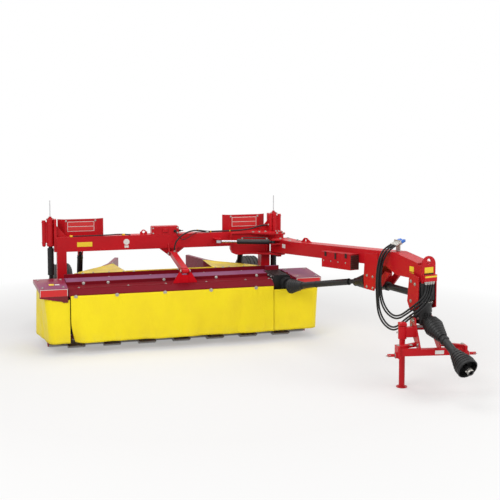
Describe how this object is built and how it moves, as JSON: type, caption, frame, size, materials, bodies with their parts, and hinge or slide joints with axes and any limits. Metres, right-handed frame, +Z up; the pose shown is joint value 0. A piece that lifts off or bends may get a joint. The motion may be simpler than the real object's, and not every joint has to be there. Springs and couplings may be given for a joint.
{
  "type": "trailed disc mower",
  "caption": "Trailed disc mower with a swinging drawbar, deck with yellow curtains, disc cutterbar, portal frame with spring towers, and two lifting wheels",
  "frame": {"origin": "on the ground under the middle of the cutterbar, on the flat sole of the middle skid", "axes": "+Z up, the machine travels towards -Y, +X towards its left side where the drawbar is hinged"},
  "size_m": [3.9217, 4.7986, 1.588],
  "materials": {
    "red_paint": "gloss red paint",
    "deck_paint": "darker gloss red paint, dusty",
    "gearbox_paint": "black painted casting",
    "yellow_curtain": "bright yellow coated cloth",
    "bar_steel": "worn steel",
    "disc_paint": "worn red paint",
    "black_plastic": "matt black guard",
    "cylinder_steel": "black paint",
    "chrome_rod": "polished rod",
    "tyre": "black tyre",
    "rim_paint": "light grey paint",
    "hose_rubber": "black hose",
    "plug_steel": "zinc plated"
  },
  "bodies": {
    "frame": {"main_frame": "red_paint", "pivot_plate_upper": "red_paint", "pivot_plate_lower": "red_paint", "beam_hose": "hose_rubber", "spring_tower_left": "red_paint", "spring_tower_right": "red_paint", "spring_strut_left": "black_plastic", "spring_strut_right": "black_plastic", "sign_board_left": "red_paint", "sign_board_right": "red_paint", "valve_box": "red_paint", "centre_link": "red_paint", "deck": "deck_paint", "side_hood_left": "deck_paint", "side_hood_right": "deck_paint", "side_curtain_left": "yellow_curtain", "side_curtain_right": "yellow_curtain", "carrier": "deck_paint", "cutterbar": "bar_steel", "mower_gearbox": "black_plastic", "swath_board_left": "deck_paint", "swath_board_right": "deck_paint", "swath_tarp_left": "yellow_curtain", "swath_tarp_right": "yellow_curtain"},
    "flap": {"front_flap": "deck_paint", "front_curtain": "yellow_curtain"},
    "drawbar": {"drawbar": "red_paint", "tool_box": "red_paint", "bearing_bracket": "red_paint", "upper_gearbox": "gearbox_paint", "hose_1": "hose_rubber", "hose_2": "hose_rubber", "hose_3": "hose_rubber", "hose_4": "hose_rubber", "hose_couplings": "plug_steel"},
    "steering_barrel": {"steering_barrel": "cylinder_steel"},
    "steering_rod": {"steering_rod": "chrome_rod"},
    "shaft_rear": {"shaft_rear": "black_plastic"},
    "shaft_front": {"shaft_front": "black_plastic"},
    "hitch": {"hitch_frame": "red_paint", "lower_gearbox": "gearbox_paint", "input_shaft": "black_plastic"},
    "jack": {"jack_leg": "red_paint"},
    "disc_1": {"disc_1": "disc_paint"},
    "disc_2": {"disc_2": "disc_paint"},
    "disc_3": {"disc_3": "disc_paint"},
    "disc_4": {"disc_4": "disc_paint"},
    "disc_5": {"disc_5": "disc_paint"},
    "disc_6": {"disc_6": "disc_paint"},
    "disc_7": {"disc_7": "disc_paint"},
    "arm_left": {"wheel_arm_left": "red_paint"},
    "wheel_left": {"tyre_left": "tyre", "rim_left": "rim_paint"},
    "lift_barrel_left": {"lift_barrel_left": "cylinder_steel"},
    "lift_rod_left": {"lift_rod_left": "chrome_rod"},
    "arm_right": {"wheel_arm_right": "red_paint"},
    "wheel_right": {"tyre_right": "tyre", "rim_right": "rim_paint"},
    "lift_barrel_right": {"lift_barrel_right": "cylinder_steel"},
    "lift_rod_right": {"lift_rod_right": "chrome_rod"}
  },
  "joints": [
    {"name": "drawbar_swing", "type": "hinge", "parent": "frame", "child": "drawbar", "pos_m": [1.31, 0.36, 1], "axis": [0, 0, 1], "range_deg": [-39, 0]},
    {"name": "steering_barrel_turn", "type": "hinge", "parent": "drawbar", "child": "steering_barrel", "pos_m": [1.1903, 0.19976, 1.06], "axis": [0, 0, 1], "range_deg": [0, 48]},
    {"name": "steering_rod_slide", "type": "slide", "parent": "steering_barrel", "child": "steering_rod", "axis": [-0.9447, 0.3278, 0], "range_m": [-0.11, 0]},
    {"name": "shaft_rear_turn", "type": "hinge", "parent": "frame", "child": "shaft_rear", "pos_m": [1.2, -0.48, 0.64], "axis": [0, 0, 1], "range_deg": [-70, 0]},
    {"name": "shaft_front_turn", "type": "hinge", "parent": "drawbar", "child": "shaft_front", "pos_m": [1.72771, -1.49352, 0.85], "axis": [0, 0, 1], "range_deg": [-30, 0]},
    {"name": "hitch_swivel", "type": "hinge", "parent": "drawbar", "child": "hitch", "pos_m": [1.92117, -2.35199, 0.715], "axis": [0, 0, 1], "range_deg": [-20, 45]},
    {"name": "jack_slide", "type": "slide", "parent": "hitch", "child": "jack", "axis": [0, 0, 1], "range_m": [0, 0.15]},
    {"name": "flap_hinge", "type": "hinge", "parent": "frame", "child": "flap", "pos_m": [0, -0.3133, 0.6975], "axis": [-1, 0, 0], "range_deg": [0, 75]},
    {"name": "arm_lift_left", "type": "hinge", "parent": "frame", "child": "arm_left", "pos_m": [0.925, 0.6, 0.43], "axis": [-1, 0, 0], "range_deg": [0, 22]},
    {"name": "lift_barrel_turn_left", "type": "hinge", "parent": "frame", "child": "lift_barrel_left", "pos_m": [0.925, 0.705, 0.938], "axis": [-1, 0, 0], "range_deg": [0, 6]},
    {"name": "lift_rod_slide_left", "type": "slide", "parent": "lift_barrel_left", "child": "lift_rod_left", "axis": [0, 0.4094, -0.9124], "range_m": [0, 0.12]},
    {"name": "wheel_spin_left", "type": "hinge", "parent": "arm_left", "child": "wheel_left", "pos_m": [1.13, 1.12, 0.38], "axis": [1, 0, 0], "continuous": true},
    {"name": "arm_lift_right", "type": "hinge", "parent": "frame", "child": "arm_right", "pos_m": [-1.065, 0.6, 0.43], "axis": [-1, 0, 0], "range_deg": [0, 22]},
    {"name": "lift_barrel_turn_right", "type": "hinge", "parent": "frame", "child": "lift_barrel_right", "pos_m": [-1.065, 0.705, 0.938], "axis": [-1, 0, 0], "range_deg": [0, 6]},
    {"name": "lift_rod_slide_right", "type": "slide", "parent": "lift_barrel_right", "child": "lift_rod_right", "axis": [0, 0.4094, -0.9124], "range_m": [0, 0.12]},
    {"name": "wheel_spin_right", "type": "hinge", "parent": "arm_right", "child": "wheel_right", "pos_m": [-1.27, 1.12, 0.38], "axis": [1, 0, 0], "continuous": true},
    {"name": "disc_spin_1", "type": "hinge", "parent": "frame", "child": "disc_1", "pos_m": [-1.185, 0, 0.1], "axis": [0, 0, 1], "continuous": true},
    {"name": "disc_spin_2", "type": "hinge", "parent": "frame", "child": "disc_2", "pos_m": [-0.79, 0, 0.1], "axis": [0, 0, 1], "continuous": true},
    {"name": "disc_spin_3", "type": "hinge", "parent": "frame", "child": "disc_3", "pos_m": [-0.395, 0, 0.1], "axis": [0, 0, 1], "continuous": true},
    {"name": "disc_spin_4", "type": "hinge", "parent": "frame", "child": "disc_4", "pos_m": [0, 0, 0.1], "axis": [0, 0, 1], "continuous": true},
    {"name": "disc_spin_5", "type": "hinge", "parent": "frame", "child": "disc_5", "pos_m": [0.395, 0, 0.1], "axis": [0, 0, 1], "continuous": true},
    {"name": "disc_spin_6", "type": "hinge", "parent": "frame", "child": "disc_6", "pos_m": [0.79, 0, 0.1], "axis": [0, 0, 1], "continuous": true},
    {"name": "disc_spin_7", "type": "hinge", "parent": "frame", "child": "disc_7", "pos_m": [1.185, 0, 0.1], "axis": [0, 0, 1], "continuous": true}
  ],
  "couplings": [
    {"joint": "steering_barrel_turn", "follows": "drawbar_swing", "ratio": -1.194},
    {"joint": "steering_rod_slide", "follows": "drawbar_swing", "m_per_rad": 0.1566},
    {"joint": "shaft_rear_turn", "follows": "drawbar_swing", "ratio": 1.735},
    {"joint": "shaft_front_turn", "follows": "drawbar_swing", "ratio": 0.735},
    {"joint": "lift_barrel_turn_left", "follows": "arm_lift_left", "ratio": 0.229},
    {"joint": "lift_rod_slide_left", "follows": "arm_lift_left", "m_per_rad": 0.2888},
    {"joint": "arm_lift_right", "follows": "arm_lift_left", "ratio": 1},
    {"joint": "lift_barrel_turn_right", "follows": "arm_lift_left", "ratio": 0.229},
    {"joint": "lift_rod_slide_right", "follows": "arm_lift_left", "m_per_rad": 0.2888},
    {"joint": "disc_spin_1", "follows": "disc_spin_7", "ratio": 1},
    {"joint": "disc_spin_2", "follows": "disc_spin_7", "ratio": -1},
    {"joint": "disc_spin_3", "follows": "disc_spin_7", "ratio": 1},
    {"joint": "disc_spin_4", "follows": "disc_spin_7", "ratio": -1},
    {"joint": "disc_spin_5", "follows": "disc_spin_7", "ratio": 1},
    {"joint": "disc_spin_6", "follows": "disc_spin_7", "ratio": -1}
  ]
}
